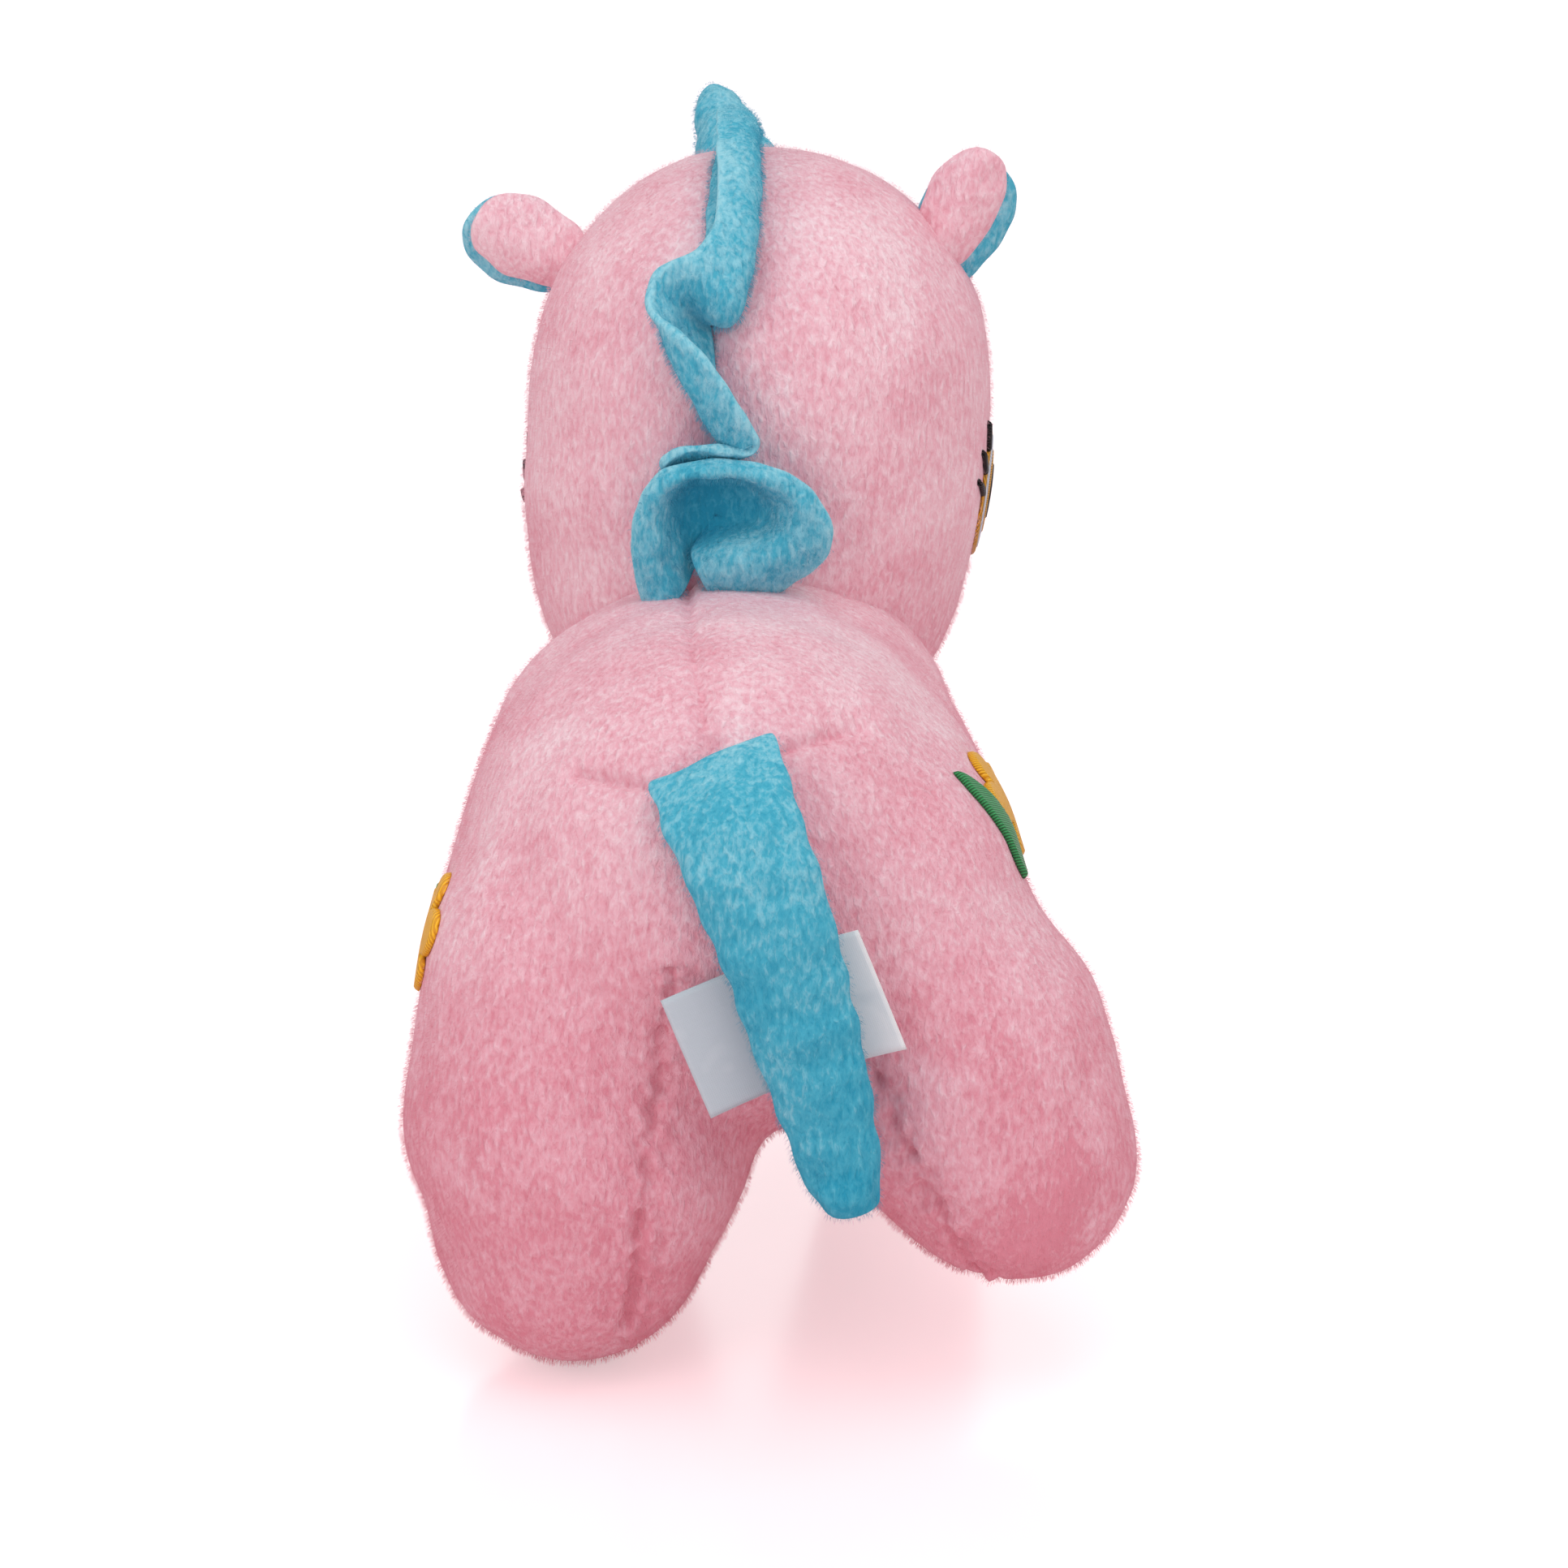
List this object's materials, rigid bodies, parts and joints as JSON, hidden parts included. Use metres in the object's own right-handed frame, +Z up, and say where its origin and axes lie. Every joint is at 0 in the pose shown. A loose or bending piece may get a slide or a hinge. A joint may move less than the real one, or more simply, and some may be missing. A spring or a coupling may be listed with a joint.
{
  "type": "plush unicorn",
  "caption": "Soft stuffed unicorn that stands on its feet, with a nodding head, a horn, bending ears, a folded mane, stitched eyes and a loose flat tail.",
  "frame": {"origin": "under the middle of the whole toy, on the surface that it stands on", "axes": "+Z up, the face looks along -Y, the toy's own left is +X"},
  "size_m": [0.1822, 0.2686, 0.299],
  "materials": {
    "pink_plush": "short-pile plush, soft sheen",
    "blue_plush": "short-pile plush, soft sheen",
    "stuffing": "loose polyester fibre, matte",
    "label_ribbon": "satin ribbon, bare",
    "gold_thread": "satin stitch, glossy thread",
    "green_thread": "satin stitch, glossy thread",
    "white_thread": "satin stitch",
    "amber_thread": "satin stitch, glossy thread",
    "black_thread": "satin stitch",
    "rose_thread": "satin stitch"
  },
  "bodies": {
    "torso": {"belly_gusset": "pink_plush", "body_left_panel": "pink_plush", "body_right_panel": "pink_plush", "body_stuffing": "stuffing", "label_left_leaf": "label_ribbon", "label_right_leaf": "label_ribbon", "left_flank_blossom": "gold_thread", "left_flank_leaf": "green_thread", "right_flank_blossom": "gold_thread", "right_flank_leaf": "green_thread"},
    "head": {"head_left_panel": "pink_plush", "head_right_panel": "pink_plush", "head_stuffing": "stuffing", "left_eye_iris": "amber_thread", "left_eye_lashes": "black_thread", "left_eye_pupil": "black_thread", "left_eye_white": "white_thread", "left_nostril": "rose_thread", "mane": "blue_plush", "mouth_stitch": "rose_thread", "right_eye_iris": "amber_thread", "right_eye_lashes": "black_thread", "right_eye_pupil": "black_thread", "right_eye_white": "white_thread", "right_nostril": "rose_thread"},
    "horn": {"horn_cover": "blue_plush", "horn_stuffing": "stuffing"},
    "left_ear": {"left_ear_lining": "blue_plush", "left_ear_outer": "pink_plush"},
    "right_ear": {"right_ear_lining": "blue_plush", "right_ear_outer": "pink_plush"},
    "tail": {"tail_cover": "blue_plush", "tail_stuffing": "stuffing"}
  },
  "joints": [
    {"name": "neck_nod", "type": "hinge", "parent": "torso", "child": "head", "pos_m": [0.00678, -0.03529, 0.166], "axis": [1, 0, 0], "range_deg": [-8, 10], "stiffness_Nm_per_rad": 1.5},
    {"name": "horn_tilt", "type": "hinge", "parent": "head", "child": "horn", "pos_m": [0.01068, -0.09855, 0.26637], "axis": [0.9633, 0.159, -0.2165], "range_deg": [-15, 15], "stiffness_Nm_per_rad": 0.05},
    {"name": "left_ear_flop", "type": "hinge", "parent": "head", "child": "left_ear", "pos_m": [0.06127, -0.05217, 0.25788], "axis": [-0.5138, 0.0359, 0.8572], "range_deg": [-25, 25], "stiffness_Nm_per_rad": 0.02},
    {"name": "right_ear_flop", "type": "hinge", "parent": "head", "child": "right_ear", "pos_m": [-0.0436, -0.04484, 0.26432], "axis": [-0.6142, 0.043, -0.788], "range_deg": [-25, 25], "stiffness_Nm_per_rad": 0.02},
    {"name": "tail_lift", "type": "hinge", "parent": "torso", "child": "tail", "pos_m": [0.01208, 0.11446, 0.16791], "axis": [0.9659, 0, -0.2588], "range_deg": [0, 110]}
  ]
}
